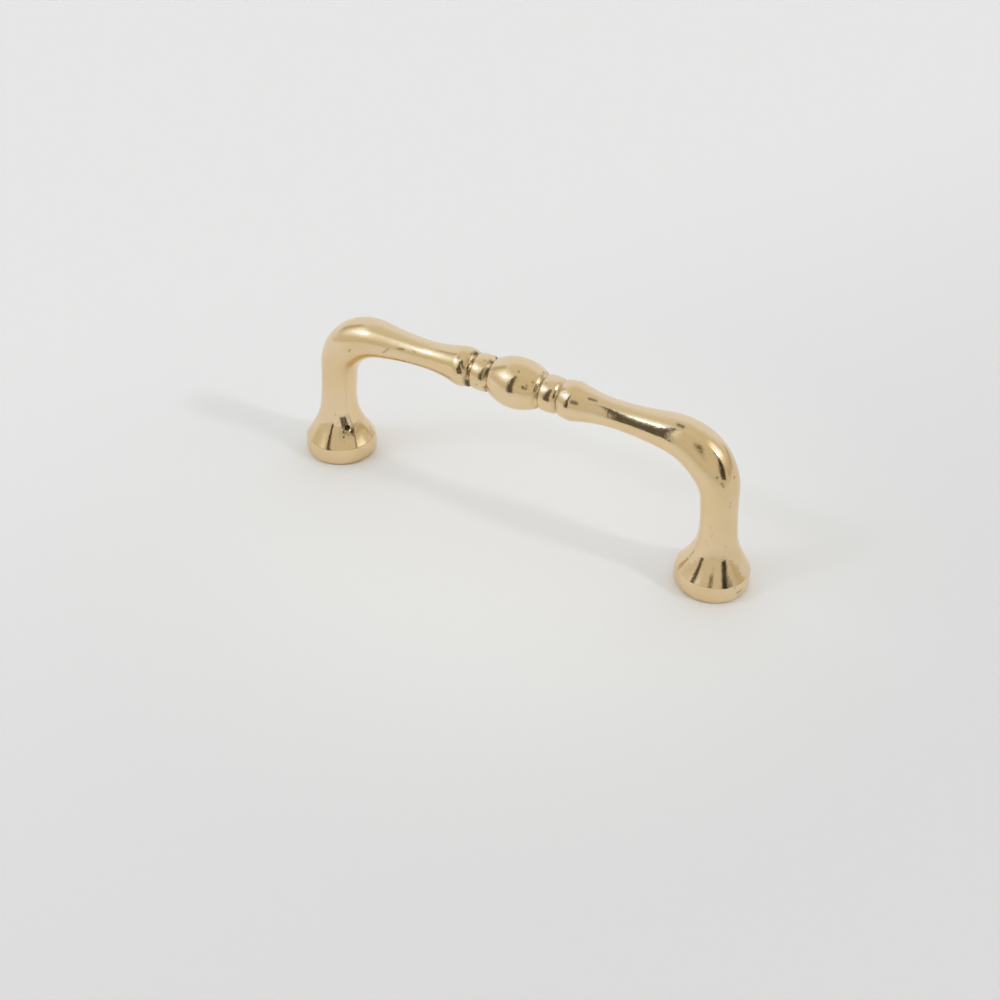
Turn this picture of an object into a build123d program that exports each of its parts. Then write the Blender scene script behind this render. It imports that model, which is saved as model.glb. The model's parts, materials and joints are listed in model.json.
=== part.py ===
from build123d import *
from math import cos, radians, sin, sqrt, tan
import os

# Cabinet handle cast in brass as one piece: two round feet, two legs that curve in a little,
# two swelling elbows, and a turned spool in the middle of the bar.
# The feet stand on the XY plane, X runs along the bar, and the origin is midway between the feet.
# All sizes are in millimetres.

# Screw fixing from behind, tapped for a no. 8 screw with 32 threads to the inch
hole_spacing = 76.2
tap_drill_diameter = 3.45
tap_depth = 9.5
drill_point_angle = 118.0
mouth_chamfer = 0.4

# Feet: a rounded rim, a crisp edge on top of it, then a hollow flare up to the leg
foot_diameter = 13.1
foot_base_diameter = 12.7
foot_edge_diameter = 12.7
foot_widest_height = 1.0
foot_rim_height = 3.25
base_chamfer = 0.25
flare_height = 8.4

# Legs and elbows: diameters are the mean of the two axes of a slightly oval section
bar_height = 26.6
elbow_radius = 9.5
leg_lean = 2.4
leg_diameter = 6.56
elbow_diameter = 7.75
shoulder_diameter = 6.62
leg_oval = 1.1

# Spool: the bar is slimmest where the trumpet of each collar begins
slim_diameter = 4.9
trumpet_length = 4.8
ridge_diameter = 6.84
collar_length = 2.5
collar_end_diameter = 6.1
collar_crown = 0.14
groove_width = 0.75
groove_depth = 0.36
bead_length = 2.6
bead_diameter = 6.16
bead_crown = 0.1
barrel_length = 8.9
barrel_end_diameter = 6.3
barrel_diameter = 8.86

# Casting flaw: a blowhole in the flare of the left foot
blowhole_diameter = 1.05
blowhole_depth = 1.3
blowhole_height = 6.85
blowhole_bearing = -36.0

# How finely the changing sections are spaced
flare_steps = 2
elbow_steps = 3

foot_x = hole_spacing / 2
leg_reach = bar_height - foot_rim_height
elbow_turn = 90.0

# Stations of the spool along the bar, from its middle outwards
barrel_end_x = barrel_length / 2
bead_start_x = barrel_end_x + groove_width
bead_end_x = bead_start_x + bead_length
collar_start_x = bead_end_x + groove_width
ridge_x = collar_start_x + collar_length
slim_x = ridge_x + trumpet_length



def leg_x(height):
    """Distance of the leg's axis from the middle of the handle: it curves in as it climbs."""
    return foot_x - leg_lean * ((height - foot_rim_height) / leg_reach) ** 2


def flare_radius(height):
    """The flare hollows out from the crisp edge and runs out tangent to the leg."""
    rise = (height - foot_rim_height) / flare_height
    return leg_diameter / 2 + (foot_edge_diameter - leg_diameter) / 2 * (1 - rise) ** 2


def elbow_section_radius(share):
    """Half the section's diameter along the elbow: leg, swollen corner, shoulder."""
    straight = leg_diameter + (shoulder_diameter - leg_diameter) * share
    swell = elbow_diameter - (leg_diameter + shoulder_diameter) / 2
    return (straight + swell * sin(radians(2 * elbow_turn * share))) / 2


def oval_section(centre_x, centre_z, climb, radius, oval):
    """An oval across the limb, wider from front to back, its normal climbing by so many degrees."""
    across = Vector(0, 1, 0)
    along = Vector(-cos(radians(climb)), 0, sin(radians(climb)))
    with BuildSketch(Plane(origin=(centre_x, 0, centre_z), x_dir=across, z_dir=along)) as section:
        Ellipse(radius * sqrt(oval), radius / sqrt(oval))
    return section.sketch


def crown(start, end, rise):
    """A band of a turned profile that stands up a little in its middle."""
    middle = ((start[0] + end[0]) / 2, (start[1] + end[1]) / 2 + 2 * rise)
    return Bezier(start, middle, end)


def groove(start, end):
    """A cut of the turning tool's point between two bands of a turned profile."""
    floor = ((start[0] + end[0]) / 2, (start[1] + end[1]) / 2 - groove_depth)
    return Polyline(start, floor, end)


# The elbow's arc starts on the leg and ends on the bar
elbow_x = leg_x(bar_height - elbow_radius)
shoulder_x = elbow_x - elbow_radius

# Corners of the rim's profile: distance from the screw hole's axis, and height
base_end = (foot_base_diameter / 2 - base_chamfer, 0)
rim_start = (foot_base_diameter / 2, base_chamfer)
rim_widest = (foot_diameter / 2, foot_widest_height)
rim_edge = (foot_edge_diameter / 2, foot_rim_height)

# Corners of the bar's profile: distance from the middle of the handle, and from the bar's axis
barrel_middle = (0, barrel_diameter / 2)
barrel_shoulder = (barrel_end_x / 2, barrel_diameter / 2)
barrel_end = (barrel_end_x, barrel_end_diameter / 2)
bead_start = (bead_start_x, bead_diameter / 2)
bead_end = (bead_end_x, bead_diameter / 2)
collar_start = (collar_start_x, collar_end_diameter / 2)
ridge = (ridge_x, ridge_diameter / 2)
trumpet_level = ((ridge_x + slim_x) / 2, slim_diameter / 2)
slimmest = (slim_x, slim_diameter / 2)
neck_level = ((slim_x + shoulder_x) / 2, slim_diameter / 2)
shoulder = (shoulder_x, shoulder_diameter / 2)

with BuildPart() as handle:
    # Foot rim, turned about its own screw hole
    with BuildSketch(Plane(origin=(foot_x, 0, 0), x_dir=(1, 0, 0), z_dir=(0, -1, 0))):
        with BuildLine():
            Line((0, 0), base_end)
            Line(base_end, rim_start)
            TangentArc(rim_widest, rim_start, tangent=(0, -1))
            TangentArc(rim_widest, rim_edge, tangent=(0, 1))
            Line(rim_edge, (0, foot_rim_height))
            Line((0, foot_rim_height), (0, 0))
        make_face()
    revolve(axis=Axis((foot_x, 0, 0), (0, 0, 1)))

    # Flare, from the crisp edge up to the leg, which curves in and turns slightly oval
    flare = []
    for step in range(flare_steps + 1):
        share = step / flare_steps
        height = foot_rim_height + flare_height * share
        oval = 1 + (leg_oval - 1) * share
        flare.append(oval_section(leg_x(height), height, elbow_turn, flare_radius(height), oval))
    loft(sections=flare)

    # Elbow, from the top of the flare round to the shoulder, where the section is round again
    bend = [flare[-1]]
    for step in range(elbow_steps + 1):
        share = step / elbow_steps
        angle = radians(elbow_turn * share)
        centre_x = shoulder_x + elbow_radius * cos(angle)
        centre_z = bar_height - elbow_radius + elbow_radius * sin(angle)
        climb = elbow_turn * (1 - share)
        oval = 1 + (leg_oval - 1) * (1 - share)
        bend.append(oval_section(centre_x, centre_z, climb, elbow_section_radius(share), oval))
    loft(sections=bend)

    mirror(about=Plane.YZ)

    # Bar from shoulder to shoulder with its spool, turned about its own axis
    with BuildSketch(Plane(origin=(0, 0, bar_height), x_dir=(1, 0, 0), z_dir=(0, -1, 0))):
        with BuildLine():
            Bezier(barrel_middle, barrel_shoulder, barrel_end)
            groove(barrel_end, bead_start)
            crown(bead_start, bead_end, bead_crown)
            groove(bead_end, collar_start)
            crown(collar_start, ridge, collar_crown)
            Bezier(ridge, trumpet_level, slimmest)
            Bezier(slimmest, neck_level, shoulder)
            Line(shoulder, (shoulder_x, 0))
            Line((shoulder_x, 0), (0, 0))
            Line((0, 0), barrel_middle)
        make_face()
        mirror(about=Plane.YZ)
    revolve(axis=Axis((0, 0, bar_height), (1, 0, 0)))

    # Tapped holes in the undersides of the feet: drill, drill point and countersunk mouth
    drill_r = tap_drill_diameter / 2
    point_length = drill_r / tan(radians(drill_point_angle / 2))
    for side in (-1, 1):
        hole_plane = Plane(origin=(side * foot_x, 0, 0), x_dir=(1, 0, 0), z_dir=(0, -1, 0))
        with BuildSketch(hole_plane):
            with BuildLine():
                Polyline(
                    (0, 0),
                    (drill_r + mouth_chamfer, 0),
                    (drill_r, mouth_chamfer),
                    (drill_r, tap_depth),
                    (0, tap_depth + point_length),
                    close=True,
                )
            make_face()
        revolve(axis=Axis((side * foot_x, 0, 0), (0, 0, 1)), mode=Mode.SUBTRACT)

    # Blowhole, straight into the flare of the left foot
    bearing = radians(blowhole_bearing)
    flare_r = flare_radius(blowhole_height)
    outward = Vector(cos(bearing), sin(bearing), 0)
    surface = Vector(-leg_x(blowhole_height), 0, blowhole_height) + outward * flare_r
    with BuildSketch(Plane(origin=surface + outward * blowhole_depth, z_dir=-outward)):
        Circle(blowhole_diameter / 2)
    extrude(amount=2 * blowhole_depth, mode=Mode.SUBTRACT)

handle.part.label = "handle"
os.makedirs("parts", exist_ok=True)
export_step(handle.part, "parts/handle.step")
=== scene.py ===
import json
import math

import bpy
import numpy as np
from mathutils import Matrix, Vector


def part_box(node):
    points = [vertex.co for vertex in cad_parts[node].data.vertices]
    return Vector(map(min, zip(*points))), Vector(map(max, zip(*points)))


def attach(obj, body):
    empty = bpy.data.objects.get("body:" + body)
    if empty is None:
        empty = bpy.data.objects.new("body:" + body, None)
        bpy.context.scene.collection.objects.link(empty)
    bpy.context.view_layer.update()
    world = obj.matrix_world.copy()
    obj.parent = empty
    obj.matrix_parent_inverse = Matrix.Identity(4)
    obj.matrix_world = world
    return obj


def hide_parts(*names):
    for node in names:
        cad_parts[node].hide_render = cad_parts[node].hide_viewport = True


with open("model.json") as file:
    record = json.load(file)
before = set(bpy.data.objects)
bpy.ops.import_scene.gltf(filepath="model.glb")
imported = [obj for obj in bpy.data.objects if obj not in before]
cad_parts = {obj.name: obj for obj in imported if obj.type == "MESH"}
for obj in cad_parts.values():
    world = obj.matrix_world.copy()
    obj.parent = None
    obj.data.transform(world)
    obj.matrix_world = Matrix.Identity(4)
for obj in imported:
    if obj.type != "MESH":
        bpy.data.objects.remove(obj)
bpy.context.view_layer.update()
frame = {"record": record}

# Cabinet handle cast in brass and polished by hand.
# Sizes are in millimetres and angles in degrees, as in the solid, and the mesh is written in metres.
MM = 0.001
LEFT, RIGHT = -1, 1

# What the frame gives: the screw spacing and bore, the width of the feet and the overall height
screw_holes = frame["record"]["mounts"][0]["dims"]
low_corner, high_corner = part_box("handle")
hole_spacing = screw_holes["spacing_x_mm"]
tap_drill_diameter = 2 * screw_holes["hole_r_mm"]
foot_diameter = (high_corner.y - low_corner.y) / MM
overall_height = high_corner.z / MM

# Tapped hole for a no. 8 screw with 32 threads to the inch
tap_depth = 9.5
drill_point_angle = 118.0
mouth_chamfer = 0.4
thread_pitch = 25.4 / 32
thread_depth = 0.36
thread_end = 8.2

# Feet
foot_base_diameter = 12.7
foot_edge_diameter = 12.7
foot_widest_height = 1.0
foot_rim_height = 3.25
base_chamfer = 0.25
flare_height = 7.3
flare_power = 1.6

# Legs and elbows
elbow_radius = 9.5
leg_lean = 2.4
leg_diameter = 6.56
elbow_diameter = 7.75
shoulder_diameter = 6.62
leg_oval = 1.1

# Spool
slim_diameter = 4.9
trumpet_length = 7.2
ridge_diameter = 6.84
collar_length = 2.5
collar_end_diameter = 6.1
collar_crown = 0.14
groove_width = 0.75
groove_depth = 0.36
bead_length = 2.6
bead_diameter = 6.16
bead_crown = 0.1
barrel_length = 8.9
barrel_end_diameter = 6.3
barrel_diameter = 8.86

# How the surface is divided: points around each ring, and the spacing of the rings along the handle.
# The points of the left flare gather at the blowhole.
points_around = 132
gather_share = 0.6
gather_reach = 3.0
fine_step = 0.02
turn_per_ring = 9.0
closest_rings = 0.07
thread_rings = 0.22
spool_rings = 0.19
spool_rings_margin = 1.0
left_foot_rings = 0.11
right_foot_rings = 0.16
foot_rings_share = 0.75
left_limb_rings = 0.45
right_limb_rings = 0.26
bar_rings = 0.32
smallest_radius = 0.01

# How much polishing has rounded the edges, and how smoothly the limbs swell.
# The limb softens above the rim of the foot, and outside the slimmest place of the bar.
edge_softness = 0.07
spool_softness = 0.16
limb_softness = 1.7
soft_leg_start = 4.0
soft_leg_run = 3.0
soft_neck_start = 1.0
soft_neck_run = 4.0

# How the outside starts around the mouth of the bore, and how its flaws start above the base
skin_run = 0.3
flaw_run = 0.5

# Small differences between the two ends, and from the drawing, that casting and filing left
left_fuller = 0.015
right_fuller = -0.024
right_fuller_run = 10.0
left_foot_shift = (0.17, 0.09)
right_foot_shift = (-0.18, -0.1)
shift_end_height = 5.4
shift_run = 3.0
wave_height = 0.016
wave_length = 7.0
dimple_height = 0.004
dimple_length = 2.2

# Blowhole in the flare of the left foot: its size and place, its soft and uneven edge, its dirt
blowhole_diameter = 1.25
blowhole_depth = 0.9
blowhole_height = 6.65
blowhole_bearing = -41.0
blowhole_edge_share = 0.2
blowhole_unevenness = 0.12
blowhole_wave_length = 1.1
blowhole_dirt = 3.0

# Dirt in the grooves of the spool, in patches: how much at each station along the bar
groove_dirt = {-8.45: 0.95, -4.85: 0.95, 4.85: 0.55, 8.45: 0.5}
groove_dirt_reach = 0.62 * groove_width
dirt_patch_length = 1.6
dirt_patch_level = 0.55
dirt_patch_swing = 0.6

# Sizes that follow from the others. Rings above the shoulder height are the bar's.
bar_margin = 2.0
bar_height = overall_height - barrel_diameter / 2
shoulder_height = bar_height - bar_margin
foot_x = hole_spacing / 2
leg_reach = bar_height - foot_rim_height
barrel_end_x = barrel_length / 2
bead_start_x = barrel_end_x + groove_width
bead_end_x = bead_start_x + bead_length
collar_start_x = bead_end_x + groove_width
ridge_x = collar_start_x + collar_length
slim_x = ridge_x + trumpet_length
drill_r = tap_drill_diameter / 2
drill_tip = tap_depth + drill_r / math.tan(math.radians(drill_point_angle / 2))


def leg_x(height):
    """Distance of the leg's axis from the middle of the handle."""
    return foot_x - leg_lean * ((height - foot_rim_height) / leg_reach) ** 2


# The elbow's arc starts on the leg and ends on the bar
elbow_x = leg_x(bar_height - elbow_radius)
shoulder_x = elbow_x - elbow_radius


def flare_radius(height):
    """The flare hollows out from the crisp edge and runs out tangent to the leg."""
    up_flare = np.clip((height - foot_rim_height) / flare_height, 0, 1)
    return leg_diameter / 2 + (foot_edge_diameter - leg_diameter) / 2 * (1 - up_flare) ** flare_power


def elbow_section_radius(share):
    """Half the section's diameter along the elbow: leg, swollen corner, shoulder."""
    straight = leg_diameter + (shoulder_diameter - leg_diameter) * share
    swell = elbow_diameter - (leg_diameter + shoulder_diameter) / 2
    return (straight + swell * np.sin(math.pi * share)) / 2


def line(*corners):
    """Points along straight runs from corner to corner."""
    runs = []
    for start, end in zip(corners, corners[1:]):
        count = max(2, int(math.dist(start, end) / fine_step))
        share = np.linspace(0, 1, count)[:, None]
        runs.append(np.array(start) * (1 - share) + np.array(end) * share)
    return np.concatenate(runs)


def bend(start, control, end):
    """Points along a curve that leaves its ends towards one control point."""
    count = max(2, int(math.dist(start, end) / fine_step))
    share = np.linspace(0, 1, count)[:, None]
    pull = 2 * share * (1 - share)
    return np.array(start) * (1 - share) ** 2 + np.array(control) * pull + np.array(end) * share ** 2


def crown(start, end, rise):
    """Points along a band that stands up, or dips, by so much in its middle."""
    middle = ((start[0] + end[0]) / 2, (start[1] + end[1]) / 2 + 2 * rise)
    return bend(start, middle, end)


def rim_arc(widest, end):
    """Points along an arc that is upright at the widest point."""
    reach = widest[0] - end[0]
    climb = end[1] - widest[1]
    radius = (reach ** 2 + climb ** 2) / (2 * reach)
    turn = math.atan2(climb, radius - reach)
    angle = np.linspace(0, turn, max(2, int(abs(turn) * radius / fine_step)))
    across = widest[0] - radius + radius * np.cos(angle)
    return np.stack([across, widest[1] + radius * np.sin(angle)], 1)


def foot_rows():
    """Bore, underside and rim: rows of centre x, centre z, climb, radius and oval."""
    base_r = foot_base_diameter / 2
    widest = (foot_diameter / 2, foot_widest_height)
    mouth = (drill_r + mouth_chamfer, 0)
    bore = line((0, drill_tip), (drill_r, tap_depth), (drill_r, mouth_chamfer), mouth)
    under = line(mouth, (base_r - base_chamfer, 0), (base_r, base_chamfer))
    lower = rim_arc(widest, (base_r, base_chamfer))[::-1]
    upper = rim_arc(widest, (foot_edge_diameter / 2, foot_rim_height))
    profile = np.concatenate([bore, under, lower, upper])
    flat = np.ones(len(profile))
    return np.stack([foot_x * flat, profile[:, 1], 90 * flat, profile[:, 0], flat], 1)


def limb_rows():
    """Flare, leg and elbow up to the shoulder."""
    height = np.arange(foot_rim_height, bar_height - elbow_radius, fine_step)
    up_flare = np.clip((height - foot_rim_height) / flare_height, 0, 1)
    upright = 90 * np.ones(len(height))
    oval = 1 + (leg_oval - 1) * up_flare
    leg = np.stack([leg_x(height), height, upright, flare_radius(height), oval], 1)
    share = np.linspace(0, 1, int(math.pi / 2 * elbow_radius / fine_step))
    angle = math.pi / 2 * share
    centre_x = shoulder_x + elbow_radius * np.cos(angle)
    centre_z = bar_height - elbow_radius + elbow_radius * np.sin(angle)
    oval = 1 + (leg_oval - 1) * (1 - share)
    elbow = np.stack([centre_x, centre_z, 90 * (1 - share), elbow_section_radius(share), oval], 1)
    return np.concatenate([leg, elbow])


def spool_rows():
    """Neck, trumpet, collar, grooves, bead and half of the barrel, from the shoulder inwards."""
    slim_r = slim_diameter / 2
    shoulder = (shoulder_x, shoulder_diameter / 2)
    slimmest = (slim_x, slim_r)
    ridge = (ridge_x, ridge_diameter / 2)
    collar_start = (collar_start_x, collar_end_diameter / 2)
    bead_end = (bead_end_x, bead_diameter / 2)
    bead_start = (bead_start_x, bead_diameter / 2)
    barrel_end = (barrel_end_x, barrel_end_diameter / 2)
    profile = np.concatenate([
        bend(shoulder, ((shoulder_x + slim_x) / 2, slim_r), slimmest),
        bend(slimmest, ((slim_x + ridge_x) / 2, slim_r), ridge),
        crown(ridge, collar_start, collar_crown),
        crown(collar_start, bead_end, -groove_depth),
        crown(bead_end, bead_start, bead_crown),
        crown(bead_start, barrel_end, -groove_depth),
        bend(barrel_end, (barrel_end_x / 2, barrel_diameter / 2), (0, barrel_diameter / 2)),
    ])
    flat = np.ones(len(profile))
    return np.stack([profile[:, 0], bar_height * flat, 0 * flat, profile[:, 1], flat], 1)


def along(rows):
    """Distance along the outline of the rows, and the outline itself."""
    outline = np.stack([
        rows[:, 0] + rows[:, 3] * np.sin(np.radians(rows[:, 2])),
        rows[:, 1] + rows[:, 3] * np.cos(np.radians(rows[:, 2])),
    ], 1)
    steps = np.linalg.norm(np.diff(outline, axis=0), axis=1)
    return np.concatenate([[0], np.cumsum(steps)]), outline


def even(rows):
    """The same rows at even steps along their outline."""
    travel, _ = along(rows)
    wanted = np.arange(0, travel[-1], fine_step)
    return np.stack([np.interp(wanted, travel, column) for column in rows.T], 1)


def soften(rows, spread):
    """Rounds every corner of the rows over about this distance."""
    reach = int(4 * spread / fine_step)
    offsets = np.arange(-reach, reach + 1) * fine_step
    weights = np.exp(-0.5 * (offsets / spread) ** 2)
    weights /= weights.sum()
    padded = np.pad(rows, ((reach, reach), (0, 0)), mode="reflect", reflect_type="odd")
    return np.stack([np.convolve(column, weights, mode="valid") for column in padded.T], 1)


def half_handle():
    """Rows from the tip of one bore to the middle of the barrel."""
    rows = even(np.concatenate([foot_rows(), limb_rows(), spool_rows()]))
    crisp = soften(rows, edge_softness)
    turned = soften(rows, spool_softness)
    smooth = soften(rows, limb_softness)
    above_foot = np.clip((rows[:, 1] - foot_rim_height - soft_leg_start) / soft_leg_run, 0, 1)
    beside_spool = np.clip((rows[:, 0] - slim_x - soft_neck_start) / soft_neck_run, 0, 1)
    outside_bore = (rows[:, 3] > drill_r) & (np.arange(len(rows)) > np.argmax(rows[:, 3]))
    share = (beside_spool * above_foot * outside_bore)[:, None]
    on_spool = rows[:, 0] < slim_x
    rows = np.where(on_spool[:, None], turned, crisp)
    rows = rows * (1 - share) + smooth * share
    rows[:, 3] = np.maximum(rows[:, 3], smallest_radius)
    return rows


def skin_share(rows):
    """0 in the bore, rising over the underside to 1 on the outside."""
    return np.clip((rows[:, 3] - drill_r - mouth_chamfer) / skin_run, 0, 1)


def ring_limits(rows, foot_rings, limb_rings):
    """The widest spacing of the rings along the rows."""
    height = rows[:, 1]
    outside = skin_share(rows) * (height > base_chamfer)
    threaded = (outside == 0) * (height > mouth_chamfer) * (height < thread_end)
    foot_rings_end = foot_rim_height + flare_height * foot_rings_share
    limits = np.where(outside * (height < shoulder_height), limb_rings, bar_rings)
    limits = np.where(outside * (height < foot_rings_end), foot_rings, limits)
    limits = np.where(rows[:, 0] < ridge_x + spool_rings_margin, spool_rings, limits)
    return np.where(threaded, thread_rings, limits)


def pick_rings(rows, limits):
    """Chooses rows so that each ring turns the outline by about the same angle."""
    travel, outline = along(rows)
    heading = np.unwrap(np.arctan2(np.gradient(outline[:, 1]), np.gradient(outline[:, 0])))
    bending = np.abs(np.gradient(heading)) / np.maximum(np.gradient(travel), 1e-6)
    spacing = np.clip(math.radians(turn_per_ring) / np.maximum(bending, 1e-6), closest_rings, limits)
    count = np.concatenate([[0], np.cumsum(np.diff(travel) / spacing[1:])])
    wanted = np.linspace(0, count[-1], int(count[-1]) + 1)
    return np.stack([np.interp(wanted, count, column) for column in rows.T], 1)


def own_end(rows, side, fuller, fade_start, fade_length):
    """Puts the rows at one end of the handle, a little fuller or slimmer than the drawing."""
    rows = rows.copy()
    fade = np.clip((rows[:, 0] - fade_start) / fade_length, 0, 1)
    rows[:, 3] *= 1 + fuller * fade * skin_share(rows)
    rows[:, 0] *= side
    rows[:, 2] *= -side
    return rows


half = half_handle()
left = pick_rings(half, ring_limits(half, left_foot_rings, left_limb_rings))
right = pick_rings(half, ring_limits(half, right_foot_rings, right_limb_rings))
left = own_end(left, LEFT, left_fuller, 0, barrel_end_x)
right = own_end(right, RIGHT, right_fuller, ridge_x, right_fuller_run)
rings = np.concatenate([left, right[::-1][1:]])
ring_side = np.where(rings[:, 0] < 0, LEFT, RIGHT)
skin = skin_share(rings) * np.clip((rings[:, 1] - base_chamfer) / flaw_run, 0, 1)
in_bore = (skin_share(rings) == 0) & (rings[:, 1] < thread_end) & (rings[:, 1] > mouth_chamfer)


def ring_turns():
    """The angle of every point on its ring; on the left flare they gather at the blowhole."""
    even_turn = np.linspace(0, 2 * math.pi, points_around, endpoint=False)[None, :]
    gather = gather_share * np.exp(-((rings[:, 1] - blowhole_height) / gather_reach) ** 2) * skin
    gather = np.where(ring_side == LEFT, gather, 0)[:, None]
    return even_turn - gather * np.sin(even_turn - math.radians(blowhole_bearing - 90))


def thread_rise(turn):
    """How far the screw thread's groove goes into the wall of the bore: a right-hand helix."""
    phase = rings[:, 1:2] / thread_pitch + ring_side[:, None] * turn / (2 * math.pi)
    groove = 1 - np.abs(2 * (phase % 1) - 1)
    run_out = np.clip((thread_end - rings[:, 1:2]) / thread_pitch, 0, 1)
    return np.where(in_bore[:, None], thread_depth * groove * run_out, 0)


turns = ring_turns()


def lay_out():
    """The points of every ring, in the frame of the handle."""
    radius = rings[:, 3:4] + thread_rise(turns)
    climb = np.radians(rings[:, 2:3])
    across = radius * np.sqrt(rings[:, 4:5]) * np.cos(turns)
    outward = radius / np.sqrt(rings[:, 4:5]) * np.sin(turns)
    lengthwise = rings[:, 0:1] - outward * np.sin(climb)
    upward = rings[:, 1:2] + outward * np.cos(climb)
    return np.stack([lengthwise, across, upward], 2)


def settle(made):
    """Shifts the feet a little off their screw holes."""
    low = np.clip((shift_end_height - rings[:, 1]) / shift_run, 0, 1) * skin_share(rings)
    for side, shift in ((LEFT, left_foot_shift), (RIGHT, right_foot_shift)):
        share = np.where(ring_side == side, low, 0)[:, None]
        made[:, :, 0] += shift[0] * share
        made[:, :, 1] += shift[1] * share
    return made


points = settle(lay_out())


def surface_normals():
    """The outward direction at every point."""
    lengthwise = np.gradient(points, axis=0)
    sideways = np.roll(points, -1, axis=1) - np.roll(points, 1, axis=1)
    normal = np.cross(sideways, lengthwise)
    return normal / np.maximum(np.linalg.norm(normal, axis=2, keepdims=True), 1e-9)


def ripple(length, seed):
    """An uneven field between about -1 and 1, with swells about as long as this."""
    wave_count = 9
    pick = np.random.default_rng(seed)
    total = np.zeros(points.shape[:2])
    for _ in range(wave_count):
        heading = pick.normal(size=3)
        heading /= np.linalg.norm(heading)
        total += np.sin(2 * math.pi / length * (points @ heading) + pick.uniform(0, 2 * math.pi))
    return total / math.sqrt(wave_count)


# A handicap that keeps a search for a ring off the parts of the handle where it isn't wanted
elsewhere = 500.0


def on_bar(x, lean):
    """The point of the bar at a station, leaning so many degrees from its top to the front."""
    ring = np.argmin(np.abs(rings[:, 0] - x) + elsewhere * (rings[:, 1] < shoulder_height))
    toward = np.array([0, -math.sin(math.radians(lean)), math.cos(math.radians(lean))])
    return points[ring, np.argmax(points[ring] @ toward)]


def on_limb(side, height, bearing):
    """The point of a foot, leg or elbow at a height of its axis, on a bearing from +X towards +Y."""
    wrong = (skin_share(rings) < 1) | (ring_side != side)
    ring = np.argmin(np.abs(rings[:, 1] - height) + elsewhere * wrong)
    toward = np.array([math.cos(math.radians(bearing)), math.sin(math.radians(bearing)), 0])
    return points[ring, np.argmax(points[ring] @ toward)]


def on_elbow(side, climb, lean):
    """The point of an elbow where the limb climbs so steeply, leaning from its outside to the front."""
    wrong = (skin_share(rings) < 1) | (ring_side != side)
    ring = np.argmin(np.abs(np.abs(rings[:, 2]) - climb) + elsewhere * wrong)
    return points[ring, np.argmin(np.abs(turns[ring] - math.radians(90 + lean)))]


def distance_to(places):
    """Distance of every point from a place, or from the line through several places."""
    if len(places) == 1:
        return np.linalg.norm(points - places[0], axis=2)
    nearest = np.full(points.shape[:2], np.inf)
    for start, end in zip(places, places[1:]):
        run = end - start
        share = np.clip((points - start) @ run / (run @ run), 0, 1)
        nearest = np.minimum(nearest, np.linalg.norm(points - start - share[:, :, None] * run, axis=2))
    return nearest


def spot(places, width):
    """1 at a place or along a line, fading out at about this distance."""
    return np.exp(-(distance_to(places) / width) ** 2)


# How far the flaws lift the surface along its normals, and how much dirt and painted shade darken it
normals = surface_normals()
waves = wave_height * ripple(wave_length, seed=3)
dimples = dimple_height * ripple(dimple_length, seed=8)
rise = (waves + dimples) * skin[:, None]
grime_and_painted_shade = np.zeros(points.shape[:2])


def ridge(places, width, height, crest=0.0):
    """Raises a ridge along a line, with sides about this wide and a crest rounded by so much."""
    global rise
    away = np.sqrt(distance_to(places) ** 2 + crest ** 2)
    rise = rise + height * np.exp(-away / width) * skin[:, None]


def file_flat(places, width, depth, middle, reach):
    """Files down the surface to the right of a line, so that the line stands out as a ridge.

    The cut is deepest a third of the width away from the line, and fades away from the middle place.
    """
    global rise
    full_depth = 27 / 4
    nearest = np.full(points.shape[:2], np.inf)
    filed = np.zeros(points.shape[:2])
    for start, end in zip(places, places[1:]):
        run = end - start
        offset = points - start
        share = np.clip(offset @ run / (run @ run), 0, 1)
        away = np.linalg.norm(offset - share[:, :, None] * run, axis=2)
        to_right = (np.cross(run, offset) * normals).sum(2) < 0
        part = np.clip(away / width, 0, 1)
        cut = np.where(to_right, full_depth * part * (1 - part) ** 2, 0)
        filed = np.where(away < nearest, cut, filed)
        nearest = np.minimum(nearest, away)
    window = np.exp(-(distance_to([middle]) / reach) ** 2)
    rise = rise - depth * filed * window * skin[:, None]


def mark(places, width, height, darkening):
    """Raises or sinks the surface at a place or along a line, and darkens it there: dirt at most marks,
    painted shade or a painted reflection at the few that say so.
    """
    global rise, grime_and_painted_shade
    here = spot(places, width)
    rise = rise + height * here
    grime_and_painted_shade = np.maximum(grime_and_painted_shade, darkening * here)


# Each mark below says where it is, then how wide, how high (below zero is sunk) and how dark it leaves
# the colour: dirt, save at the marks whose comment calls them painted shade or a painted reflection.

# Left foot: a filed front between a ridge and a fold, a crease below the blowhole darkened with painted
# shade, a stain above it
fold = [on_limb(LEFT, 14.0, -26), on_limb(LEFT, 9.3, -26), on_limb(LEFT, 7.7, -19)]
fold += [on_limb(LEFT, 6.5, -16), on_limb(LEFT, 5.0, -22), on_limb(LEFT, 3.4, -28)]
fold += [on_limb(LEFT, 0.5, -28)]
file_flat(fold, 8.5, 0.48, on_limb(LEFT, 5.6, -42), 5.0)
file_flat(fold[::-1], 3.0, 0.1, on_limb(LEFT, 5.6, -10), 4.0)
ridge([on_limb(LEFT, 9.3, -58), on_limb(LEFT, 3.3, -86)], 1.4, 0.26, 0.6)
crease = [on_limb(LEFT, 6.2, -41), on_limb(LEFT, 5.7, -31), on_limb(LEFT, 5.0, -22)]
crease += [on_limb(LEFT, 3.4, -28)]
# Painted shade: the crease is darkened as if the fold shaded it
mark(crease, 0.1, -0.05, 0.6)
mark([on_limb(LEFT, 9.3, -26), on_limb(LEFT, 7.7, -20), on_limb(LEFT, 6.5, -17)], 0.2, 0.0, 0.25)
for stain_bearing in (-45, -40, -35):
    mark([on_limb(LEFT, 8.9, stain_bearing), on_limb(LEFT, 7.2, stain_bearing + 3)], 0.3, 0.0, 1.0)

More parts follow.
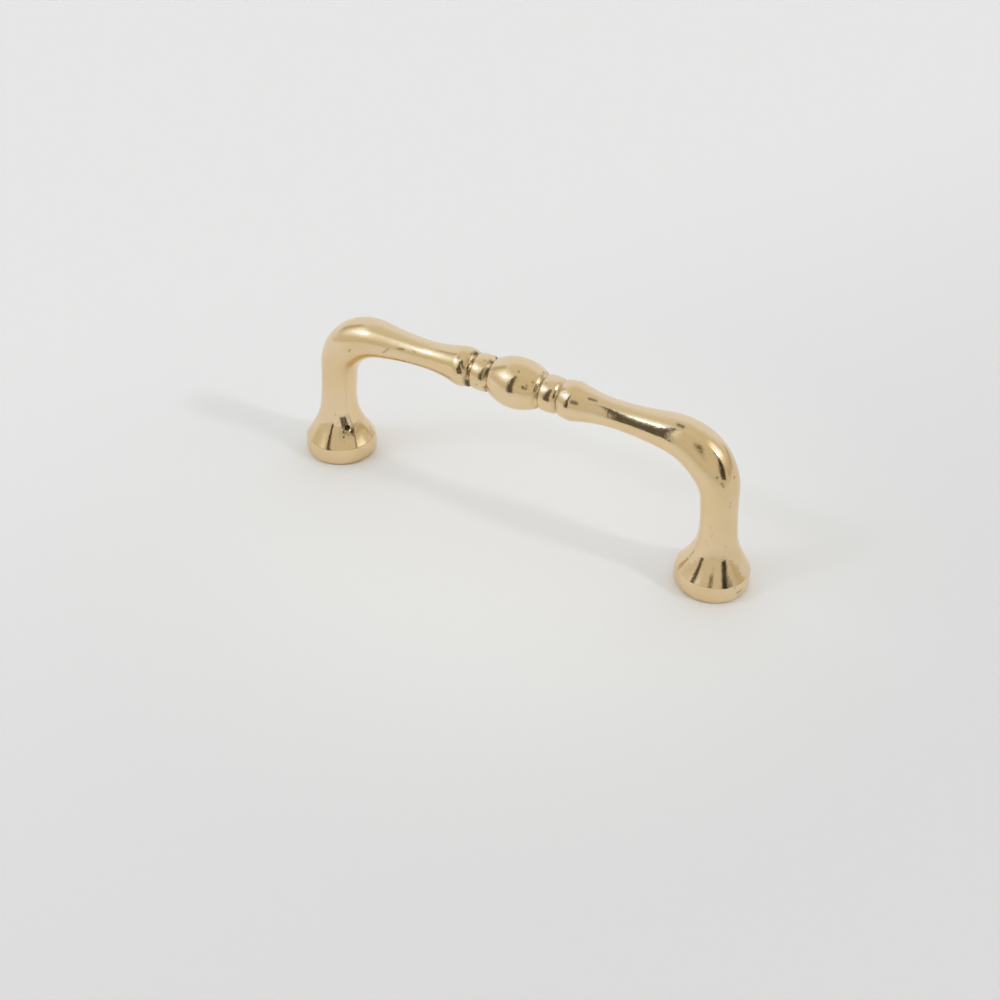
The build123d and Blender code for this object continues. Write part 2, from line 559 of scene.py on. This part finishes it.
# Left foot: a bump and pits around the blowhole, and scratches on the inner side of the flare
mark([on_limb(LEFT, 6.8, -48)], 0.14, 0.03, 0.0)
mark([on_limb(LEFT, 5.3, -43)], 0.14, -0.05, 0.7)
mark([on_limb(LEFT, 8.0, -56)], 0.11, -0.03, 0.5)
mark([on_limb(LEFT, 9.7, -62)], 0.1, -0.03, 0.5)
mark([on_limb(LEFT, 4.5, -46)], 0.1, -0.02, 0.35)
for scratch in (22, 26, 30):
    mark([on_limb(LEFT, 4.6, scratch), on_limb(LEFT, 3.3, scratch - 4)], 0.09, -0.02, 0.5)

# Left leg and elbow: a faint seam, short cuts, and marks along the front of the bar
ridge([on_limb(LEFT, 20.5, -30), on_limb(LEFT, 10.0, -30)], 0.9, 0.03)
mark([on_bar(-25.3, 97), on_bar(-24.4, 80)], 0.1, -0.04, 0.85)
mark([on_limb(LEFT, 25.6, -78), on_limb(LEFT, 25.3, -66)], 0.12, -0.03, 0.6)
mark([on_bar(-22.4, 67), on_bar(-21.3, 66)], 0.12, -0.03, 0.9)
mark([on_bar(-19.6, 60), on_bar(-19.2, 62)], 0.09, -0.02, 0.6)

# Spool: pits on the collars, the beads and the barrel, and marks on the right trumpet
mark([on_bar(-10.4, 35)], 0.17, -0.07, 0.95)
mark([on_bar(-9.0, 12)], 0.18, -0.07, 0.95)
mark([on_bar(-9.7, 52), on_bar(-9.1, 62)], 0.12, -0.05, 0.9)
mark([on_bar(-9.9, 70), on_bar(-9.6, 74)], 0.1, -0.03, 0.6)
mark([on_bar(-6.3, 100)], 0.14, -0.05, 0.8)
mark([on_bar(-5.9, 20)], 0.13, -0.05, 0.7)
mark([on_bar(1.1, 30)], 0.16, -0.06, 1.0)
mark([on_bar(3.2, 55)], 0.15, -0.05, 0.9)
mark([on_bar(3.8, 40)], 0.18, -0.06, 0.9)
mark([on_bar(2.9, 62)], 0.11, -0.03, 0.7)
mark([on_bar(4.3, -12)], 0.2, -0.06, 0.9)
mark([on_bar(5.9, 30)], 0.13, -0.05, 0.7)
mark([on_bar(11.4, 60), on_bar(12.3, 60)], 0.28, -0.05, 0.9)
mark([on_bar(13.8, 33), on_bar(14.9, 31)], 0.2, -0.04, 0.9)
mark([on_bar(9.7, 40)], 0.12, -0.04, 0.6)

# Right elbow, leg and foot: a filed front, pits, a dark dash of painted reflection on the shoulder, a
# faint seam, a fold on the flare, a worn corner
crest = [on_bar(24.0, 36), on_bar(27.6, 36), on_elbow(RIGHT, 11, 38), on_elbow(RIGHT, 21, 38)]
crest += [on_elbow(RIGHT, 32, 36), on_elbow(RIGHT, 42, 31), on_elbow(RIGHT, 51, 31)]
crest += [on_elbow(RIGHT, 59, 31), on_limb(RIGHT, 19.0, -38), on_limb(RIGHT, 14.0, -37)]
file_flat(crest, 6.0, 0.3, on_elbow(RIGHT, 38, 50), 5.0)
mark([on_limb(RIGHT, 22.1, -51)], 0.2, -0.05, 0.8)
mark([on_limb(RIGHT, 21.0, -12)], 0.17, -0.06, 0.9)
mark([on_limb(RIGHT, 21.2, -47), on_limb(RIGHT, 20.7, -45)], 0.16, -0.05, 0.7)
mark([on_limb(RIGHT, 17.4, -32)], 0.15, -0.04, 0.6)
mark([on_limb(RIGHT, 17.9, -33)], 0.12, -0.04, 0.6)
# Painted reflection: a slight dent near the right shoulder carries a dark dash that stands in for a
# reflection
mark([on_bar(28.9, 26), on_bar(29.7, 27)], 0.27, -0.03, 0.9)
for height, bearing in ((13.3, -90), (12.2, -84), (11.5, -88), (10.4, -106), (9.9, -96), (9.7, -40)):
    mark([on_limb(RIGHT, height, bearing)], 0.13, -0.02, 0.25)
ridge([on_limb(RIGHT, 19.0, -38), on_limb(RIGHT, 12.9, -36), on_limb(RIGHT, 6.5, -36)], 0.9, 0.05)
mark([on_limb(RIGHT, 7.2, -138), on_limb(RIGHT, 3.8, -145)], 0.15, 0.06, 0.1)
mark([on_limb(RIGHT, 7.1, -134), on_limb(RIGHT, 3.9, -141)], 0.1, -0.03, 0.6)
mark([on_limb(RIGHT, 3.1, -34)], 0.14, -0.04, 0.6)
mark([on_limb(RIGHT, 2.0, -20), on_limb(RIGHT, 1.8, -26)], 0.13, -0.04, 0.7)
mark([on_limb(RIGHT, 0.9, -17), on_limb(RIGHT, 0.5, -23)], 0.6, -0.14, 0.0)

# Polish and dirt left in the grooves of the spool, most in the left ones
patches = np.clip(dirt_patch_level + dirt_patch_swing * ripple(dirt_patch_length, seed=21), 0, 1)
for groove_x, darkening in groove_dirt.items():
    across_groove = np.exp(-((points[:, :, 0] - groove_x) / groove_dirt_reach) ** 2)
    grime_and_painted_shade = np.maximum(grime_and_painted_shade, darkening * across_groove * patches * skin[:, None])

points = points + normals * rise[:, :, None]


def sink_blowhole(made):
    """Pushes the points inside the blowhole straight in, and says how far inside each point is."""
    mouth = on_limb(LEFT, blowhole_height, blowhole_bearing)
    angle = math.radians(blowhole_bearing)
    inward = -np.array([math.cos(angle), math.sin(angle), 0])
    offset = made - mouth
    depth = offset @ inward
    off_axis = np.linalg.norm(offset - depth[:, :, None] * inward, axis=2)
    near = np.linalg.norm(offset, axis=2) < 2 * blowhole_diameter
    radius = blowhole_diameter / 2 * (1 + blowhole_unevenness * ripple(blowhole_wave_length, seed=5))
    inside = np.clip((radius - off_axis) / (blowhole_edge_share * radius), 0, 1) * near
    inside = inside ** 2 * (3 - 2 * inside)
    return made + (blowhole_depth * inside)[:, :, None] * inward, inside


points, in_hole = sink_blowhole(points)
grime_and_painted_shade = np.maximum(grime_and_painted_shade, np.clip(blowhole_dirt * in_hole, 0, 1))


def make_mesh(points):
    """One closed mesh from rings of points, with a point at the tip of each bore."""
    ring_count, around, _ = points.shape
    verts = points.reshape(-1, 3)
    first = np.arange(ring_count - 1)[:, None] * around
    here = np.arange(around)[None, :]
    there = (here + 1) % around
    quads = np.stack([first + here, first + here + around, first + there + around, first + there], 2)
    tips = np.stack([points[0].mean(0), points[-1].mean(0)])
    last = (ring_count - 1) * around
    start_tip = len(verts)
    end_tip = start_tip + 1
    ring = np.arange(around)
    after = (ring + 1) % around
    start_fan = np.stack([np.full(around, start_tip), ring, after], 1)
    end_fan = np.stack([np.full(around, end_tip), last + after, last + ring], 1)
    faces = quads.reshape(-1, 4).tolist() + start_fan.tolist() + end_fan.tolist()
    mesh = bpy.data.meshes.new("handle_brass")
    mesh.from_pydata((np.concatenate([verts, tips]) * MM).tolist(), [], faces)
    mesh.shade_smooth()
    mesh.validate()
    darkening = mesh.attributes.new("grime_and_painted_shade", "FLOAT", "POINT")
    darkening.data.foreach_set("value", np.concatenate([grime_and_painted_shade.ravel(), [0, 0]]))
    return mesh


handle_mesh = make_mesh(points)
handle = bpy.data.objects.new("handle_brass", handle_mesh)
bpy.context.scene.collection.objects.link(handle)


class Nodes:
    """Short ways to add and join the nodes of a material or the world."""

    def __init__(self, tree):
        self.tree = tree

    def node(self, kind):
        return self.tree.nodes.new(kind)

    def feed(self, socket, value):
        """Gives a socket a value, or joins it to the output of another node."""
        if isinstance(value, bpy.types.NodeSocket):
            self.tree.links.new(value, socket)
        else:
            socket.default_value = value

    def math(self, operation, *values):
        node = self.node("ShaderNodeMath")
        node.operation = operation
        for socket, value in zip(node.inputs, values):
            self.feed(socket, value)
        return node.outputs["Value"]

    def dot(self, vector, axis):
        node = self.node("ShaderNodeVectorMath")
        node.operation = "DOT_PRODUCT"
        self.feed(node.inputs[0], vector)
        self.feed(node.inputs[1], axis)
        return node.outputs["Value"]

    def length(self, vector):
        node = self.node("ShaderNodeVectorMath")
        node.operation = "LENGTH"
        self.feed(node.inputs[0], vector)
        return node.outputs["Value"]

    def remap(self, value, start, end, low, high):
        """Low up to start, high from end on, and a smooth run between them."""
        node = self.node("ShaderNodeMapRange")
        node.interpolation_type = "SMOOTHSTEP"
        self.feed(node.inputs["Value"], value)
        node.inputs["From Min"].default_value = start
        node.inputs["From Max"].default_value = end
        node.inputs["To Min"].default_value = low
        node.inputs["To Max"].default_value = high
        return node.outputs["Result"]

    def blend(self, share, first, second):
        """A colour between two colours."""
        node = self.node("ShaderNodeMix")
        node.data_type = "RGBA"
        self.feed(node.inputs["Factor"], share)
        for socket, colour in ((node.inputs[6], first), (node.inputs[7], second)):
            self.feed(socket, colour if isinstance(colour, bpy.types.NodeSocket) else (*colour, 1))
        return node.outputs[2]

    def noise(self, where, length, detail):
        """Smooth noise with features of about this length in millimetres."""
        node = self.node("ShaderNodeTexNoise")
        self.feed(node.inputs["Vector"], where)
        node.inputs["Scale"].default_value = 1 / (length * MM)
        node.inputs["Detail"].default_value = detail
        return node.outputs["Fac"]

    def bump(self, height, millimetres, normal=None):
        """Shades the surface as if it stood up by as many millimetres where the height is 1."""
        node = self.node("ShaderNodeBump")
        node.inputs["Strength"].default_value = 1.0
        node.inputs["Distance"].default_value = millimetres * MM
        self.feed(node.inputs["Height"], height)
        if normal is not None:
            self.feed(node.inputs["Normal"], normal)
        return node.outputs["Normal"]


# Brass: its colours, the lengths of its uneven tone, gloss and grain, and the heights of the grain
pale_brass = (0.86, 0.675, 0.435)
deep_brass = (0.84, 0.64, 0.375)
speck_colour = (0.45, 0.33, 0.19)
# The dark colour serves dirt, and also painted shade in the crease of the left foot and a painted
# reflection on the right shoulder
grime_and_shade_colour = (0.022, 0.016, 0.01)
tone_length = 9.0
gloss_length = 3.0
speck_length = 0.28
speck_strength = 0.35
darkening_break_length = 0.35
roughness_where_dark = 0.4
lowest_roughness = 0.09
highest_roughness = 0.15
coarse_grain_length = 0.9
coarse_grain_height = 0.018
fine_grain_length = 0.3
fine_grain_height = 0.011


def brass_material():
    """Polished brass with uneven tone and gloss, a fine grain, and dirt and painted shade where the
    mesh says.
    """
    material = bpy.data.materials.new("polished_brass")
    material.use_nodes = True
    nodes = Nodes(material.node_tree)
    shader = material.node_tree.nodes["Principled BSDF"]
    shader.inputs["Specular IOR Level"].default_value = 0.1
    where = nodes.node("ShaderNodeTexCoord").outputs["Object"]
    attribute = nodes.node("ShaderNodeAttribute")
    attribute.attribute_name = "grime_and_painted_shade"
    broken = nodes.remap(nodes.noise(where, darkening_break_length, 2), 0.3, 0.6, 0.75, 1.0)
    darkening = nodes.math("MULTIPLY", attribute.outputs["Fac"], broken)
    tone = nodes.remap(nodes.noise(where, tone_length, 3), 0.35, 0.65, 0, 1)
    speckle = nodes.remap(nodes.noise(where, speck_length, 3), 0.62, 0.78, 0, speck_strength)
    brass = nodes.blend(speckle, nodes.blend(tone, pale_brass, deep_brass), speck_colour)
    nodes.feed(shader.inputs["Base Color"], nodes.blend(darkening, brass, grime_and_shade_colour))
    nodes.feed(shader.inputs["Metallic"], nodes.remap(darkening, 0.2, 0.9, 1, 0.2))
    uneven = nodes.noise(where, gloss_length, 4)
    clean = nodes.remap(uneven, 0.3, 0.7, lowest_roughness, highest_roughness)
    rough_where_dark = nodes.math("MULTIPLY", darkening, roughness_where_dark)
    nodes.feed(shader.inputs["Roughness"], nodes.math("ADD", clean, rough_where_dark))
    coarse = nodes.bump(nodes.noise(where, coarse_grain_length, 2), coarse_grain_height)
    fine = nodes.bump(nodes.noise(where, fine_grain_length, 2), fine_grain_height, coarse)
    nodes.feed(shader.inputs["Normal"], fine)
    return material


handle_mesh.materials.append(brass_material())
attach(handle, "root")
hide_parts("handle")


# Camera, fitted to the outline of the handle in the photograph
camera_azimuth = 28.974
camera_elevation = 37.598
camera_roll = 1.187
camera_distance = 229.3
camera_target = Vector((-3.094, 0, 0.621))
camera_lens = 45.58


def add_camera():
    """A camera that looks at the target from its azimuth and elevation."""
    azimuth = math.radians(camera_azimuth)
    elevation = math.radians(camera_elevation)
    roll = math.radians(camera_roll)
    ahead = math.cos(elevation)
    back = Vector((math.sin(azimuth) * ahead, -math.cos(azimuth) * ahead, math.sin(elevation)))
    level = Vector((math.cos(azimuth), math.sin(azimuth), 0))
    upright = back.cross(level)
    right_hand = math.cos(roll) * level + math.sin(roll) * upright
    up_hand = back.cross(right_hand)
    data = bpy.data.cameras.new("camera")
    data.sensor_width = 36
    data.lens = camera_lens
    data.clip_start = 0.005
    camera = bpy.data.objects.new("camera", data)
    bpy.context.scene.collection.objects.link(camera)
    place = (camera_target + back * camera_distance) * MM
    turned = Matrix((right_hand, up_hand, back)).transposed().to_4x4()
    camera.matrix_world = Matrix.Translation(place) @ turned
    bpy.context.scene.camera = camera


add_camera()

# Floor, in metres. Painted shade darkens it towards the front right, and a painted pool of light makes
# it brightest under the handle. A painted reflection gives the brass a duller colour where the floor
# runs on towards the camera.
floor_radius = 1.6
floor_corners = 96
floor_drop = 0.00004
floor_colour = (0.955, 0.957, 0.975)
shaded_front_floor_colour = (0.855, 0.858, 0.878)
front_floor_bearing = 35.0
front_floor_start = -0.11
front_floor_end = 0.09
lit_middle_floor_colour = (0.985, 0.985, 0.995)
middle_floor_start = 0.01
middle_floor_end = 0.085
far_floor_reflection_colour = (0.72, 0.70, 0.60)
far_floor_start = 0.05
far_floor_end = 0.2


def add_floor():
    """A wide pale table under the feet, with painted shade, a painted pool of light and a painted
    reflection.
    """
    turn = np.linspace(0, 2 * math.pi, floor_corners, endpoint=False)
    rim = [(floor_radius * math.cos(a), floor_radius * math.sin(a), -floor_drop) for a in turn]
    mesh = bpy.data.meshes.new("floor")
    mesh.from_pydata(rim, [], [list(range(len(rim)))])
    floor = bpy.data.objects.new("floor", mesh)
    bpy.context.scene.collection.objects.link(floor)
    material = bpy.data.materials.new("painted_light_floor")
    material.use_nodes = True
    nodes = Nodes(material.node_tree)
    shader = material.node_tree.nodes["Principled BSDF"]
    azimuth = math.radians(camera_azimuth)
    where = nodes.node("ShaderNodeTexCoord").outputs["Object"]
    # Painted reflection: rays from the brass see the floor turn darker and duller far towards the
    # camera
    ahead = nodes.dot(where, (math.sin(azimuth), -math.cos(azimuth), 0))
    far = nodes.remap(ahead, far_floor_start, far_floor_end, 0, 1)
    in_brass = nodes.node("ShaderNodeLightPath").outputs["Is Glossy Ray"]
    share = nodes.math("MULTIPLY", far, in_brass)
    # Painted shade: the floor darkens towards the front right
    front = azimuth + math.radians(front_floor_bearing)
    frontward = nodes.dot(where, (math.sin(front), -math.cos(front), 0))
    in_front = nodes.remap(frontward, front_floor_start, front_floor_end, 0, 1)
    floor_with_painted_light = nodes.blend(in_front, floor_colour, shaded_front_floor_colour)
    # Painted pool of light: the floor is brightest under the handle
    in_middle = nodes.remap(nodes.length(where), middle_floor_start, middle_floor_end, 1, 0)
    floor_with_painted_light = nodes.blend(in_middle, floor_with_painted_light, lit_middle_floor_colour)
    nodes.feed(shader.inputs["Base Color"], nodes.blend(share, floor_with_painted_light, far_floor_reflection_colour))
    shader.inputs["Roughness"].default_value = 0.9
    shader.inputs["Specular IOR Level"].default_value = 0.1
    mesh.materials.append(material)


add_floor()


# Dark card that stands on the floor and shows only in the brass: how far in front of the middle of the
# handle and to the right of it, as the camera sees it, and how far from its middle it fades out
flag_ahead = 66.0
flag_aside = -61.5
flag_width = 35.0
flag_height = 175.0
flag_colour = (0.115, 0.105, 0.09)
flag_fade_start = 0.2
flag_fade_end = 0.5


def add_flag():
    """An upright card that faces the middle of the handle."""
    azimuth = math.radians(camera_azimuth)
    toward = Vector((math.sin(azimuth), -math.cos(azimuth), 0))
    sideways = Vector((math.cos(azimuth), math.sin(azimuth), 0))
    foot = toward * flag_ahead + sideways * flag_aside
    half_width = foot.cross(Vector((0, 0, 1))).normalized() * flag_width / 2
    corners = []
    for edge, height in ((-1, 0), (1, 0), (1, flag_height), (-1, flag_height)):
        corners.append((foot + half_width * edge + Vector((0, 0, height))) * MM)
    mesh = bpy.data.meshes.new("flag_left")
    mesh.from_pydata(corners, [], [(0, 1, 2, 3)])
    sheet = mesh.uv_layers.new(name="sheet")
    for loop, place in zip(sheet.data, ((0, 0), (1, 0), (1, 1), (0, 1))):
        loop.uv = place
    material = bpy.data.materials.new("flag_left")
    material.use_nodes = True
    shader = material.node_tree.nodes["Principled BSDF"]
    shader.inputs["Base Color"].default_value = (*flag_colour, 1)
    nodes = Nodes(material.node_tree)
    split = nodes.node("ShaderNodeSeparateXYZ")
    nodes.feed(split.inputs["Vector"], nodes.node("ShaderNodeUVMap").outputs["UV"])
    off_middle = nodes.math("ABSOLUTE", nodes.math("SUBTRACT", split.outputs["X"], 0.5))
    nodes.feed(shader.inputs["Alpha"], nodes.remap(off_middle, flag_fade_start, flag_fade_end, 1, 0))
    shader.inputs["Roughness"].default_value = 1.0
    shader.inputs["Specular IOR Level"].default_value = 0.0
    mesh.materials.append(material)
    flag = bpy.data.objects.new("flag_left", mesh)
    bpy.context.scene.collection.objects.link(flag)
    flag.visible_camera = False
    flag.visible_diffuse = False
    flag.visible_shadow = False


add_flag()


class Studio(Nodes):
    """The room as seen from the handle, painted by direction: azimuth from the camera, elevation."""

    def __init__(self):
        world = bpy.data.worlds.new("studio")
        world.use_nodes = True
        bpy.context.scene.world = world
        super().__init__(world.node_tree)
        self.tree.nodes.clear()
        where = self.node("ShaderNodeTexCoord").outputs["Generated"]
        azimuth = math.radians(camera_azimuth)
        ahead = self.dot(where, (math.sin(azimuth), -math.cos(azimuth), 0))
        sideways = self.dot(where, (math.cos(azimuth), math.sin(azimuth), 0))
        self.azimuth = self.math("DEGREES", self.math("ARCTAN2", sideways, ahead))
        self.elevation = self.math("DEGREES", self.math("ARCSINE", self.dot(where, (0, 0, 1))))
        self.colour = None

    def inside(self, value, width, softness):
        """1 within half the width of zero, falling to 0 over the softness around its edge."""
        away = self.math("ABSOLUTE", value)
        return self.remap(away, width / 2 - softness, width / 2 + softness, 1, 0)

    def fill(self, colour):
        self.colour = colour

    def patch(self, azimuth, elevation, width, height, softness, colour):
        """A soft-edged patch of one colour, centred on a direction."""
        offset = self.math("SUBTRACT", self.azimuth, azimuth)
        wrapped = self.math("WRAP", offset, 180.0, -180.0)
        climb = self.math("SUBTRACT", self.elevation, elevation)
        columns = self.inside(wrapped, width, softness)
        rows = self.inside(climb, height, softness)
        self.colour = self.blend(self.math("MULTIPLY", columns, rows), self.colour, colour)

    def show(self, backdrop):
        """Lights the scene with the room, and gives the camera a plain backdrop."""
        seen = self.node("ShaderNodeLightPath").outputs["Is Camera Ray"]
        background = self.node("ShaderNodeBackground")
        self.feed(background.inputs["Color"], self.blend(seen, self.colour, backdrop))
        output = self.node("ShaderNodeOutputWorld")
        self.tree.links.new(background.outputs["Background"], output.inputs["Surface"])


# Each patch says its azimuth, elevation, width, height and softness, all in degrees, and its colour.
# Later ones lie over earlier ones.
room_colour = (0.65, 0.62, 0.52)
backdrop_colour = (0.8, 0.8, 0.8)
studio = Studio()
studio.fill(room_colour)

# Wall behind the handle, ceiling, dim corner beside the window, dim strip low on the right
studio.patch(180, 8, 130, 116, 22, (0.82, 0.85, 0.92))
studio.patch(0, 88, 360, 50, 20, (0.70, 0.68, 0.60))
studio.patch(-122, 32, 16, 36, 6, (0.52, 0.50, 0.44))
studio.patch(95, 4, 70, 14, 6, (0.54, 0.48, 0.37))

# Dark things around the camera
studio.patch(-12, 21, 11, 13, 4, (0.14, 0.12, 0.10))
studio.patch(30, 9, 18, 34, 4, (0.035, 0.03, 0.025))
studio.patch(46, 24, 16, 22, 6, (0.20, 0.18, 0.15))

# Window on the left, with its glow, its bluer middle and a small lamp
studio.patch(-76, 38, 60, 36, 9, (0.94, 0.99, 0.96))
studio.patch(-77, 38, 38, 20, 8, (1.14, 1.36, 1.8))
studio.patch(-73, 39, 4.5, 4.5, 1, (27.0, 28.0, 29.0))

# Pale screen on the right, with the main lamp in it
studio.patch(74, 37, 34, 26, 8, (1.25, 1.25, 1.25))
studio.patch(64, 36, 5, 5, 1, (55.0, 55.0, 55.0))
studio.show(backdrop_colour)

bpy.context.scene.view_settings.view_transform = "Standard"
